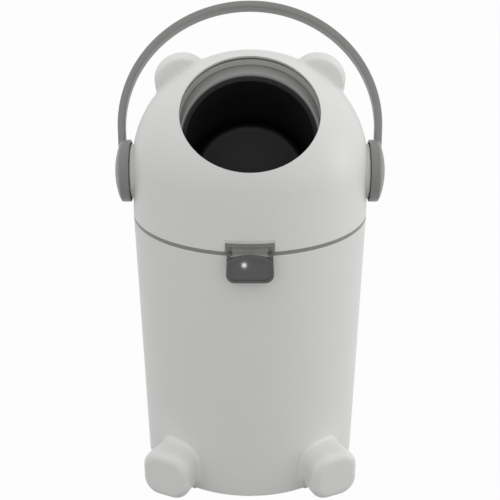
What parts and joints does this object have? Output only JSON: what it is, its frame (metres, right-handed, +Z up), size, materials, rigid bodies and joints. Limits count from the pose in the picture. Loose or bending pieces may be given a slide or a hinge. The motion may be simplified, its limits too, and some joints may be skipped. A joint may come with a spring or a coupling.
{
  "type": "nappy bin",
  "caption": "Cylindrical nappy bin with two front feet, an eared dome lid, and a drum inside that a hoop handle flips to drop what is put in.",
  "frame": {"origin": "on the floor, on the tub's axis", "axes": "+Z up, -Y the front with the opening and the latch, X along the drum's axis"},
  "size_m": [0.321, 0.303, 0.5522],
  "materials": {
    "white_plastic": "satin moulded polypropylene",
    "grey_plastic": "satin moulded polypropylene",
    "dark_plastic": "semi-gloss moulded acetal",
    "black_plastic": "gloss moulded ABS",
    "rubber": "soft rubber",
    "steel": "bright zinc"
  },
  "bodies": {
    "bin": {"tub": "white_plastic", "foot_left": "white_plastic", "foot_right": "white_plastic", "foot_screws": "steel", "grip_pads": "rubber", "bag_ring": "grey_plastic", "hinge_pin": "steel"},
    "lid": {"lid_dome": "white_plastic", "lid_cradle": "grey_plastic", "mouth_seal": "rubber", "drop_seal": "rubber", "lid_seal": "rubber", "bush_left": "dark_plastic", "bush_right": "dark_plastic", "cradle_screws": "steel", "latch_plate": "grey_plastic", "latch_pin": "steel"},
    "latch": {"latch_flap": "dark_plastic", "latch_tongue": "dark_plastic"},
    "drum": {"drum_front": "grey_plastic", "drum_rear": "grey_plastic", "bore_liner": "black_plastic", "trunnion_left": "dark_plastic", "trunnion_right": "dark_plastic", "trunnion_screws": "steel", "handle": "grey_plastic", "hub_cap_left": "grey_plastic", "hub_cap_right": "grey_plastic", "handle_screws": "steel"},
    "piston": {"piston_front": "black_plastic", "piston_rear": "black_plastic", "piston_wipers": "rubber"}
  },
  "joints": [
    {"name": "lid_hinge", "type": "hinge", "parent": "bin", "child": "lid", "pos_m": [0, 0.146, 0.324], "axis": [-1, 0, 0], "range_deg": [0, 95], "deforming": ["latch_tongue"]},
    {"name": "latch_hinge", "type": "hinge", "parent": "lid", "child": "latch", "pos_m": [0, -0.1456, 0.3235], "axis": [-1, 0, 0], "range_deg": [0, 70]},
    {"name": "drum_turn", "type": "hinge", "parent": "lid", "child": "drum", "pos_m": [0, 0, 0.3737], "axis": [1, 0, 0], "range_deg": [-13, 167]},
    {"name": "piston_slide", "type": "slide", "parent": "drum", "child": "piston", "axis": [0, -0.788, 0.6157], "range_m": [0, 0.1138]}
  ]
}
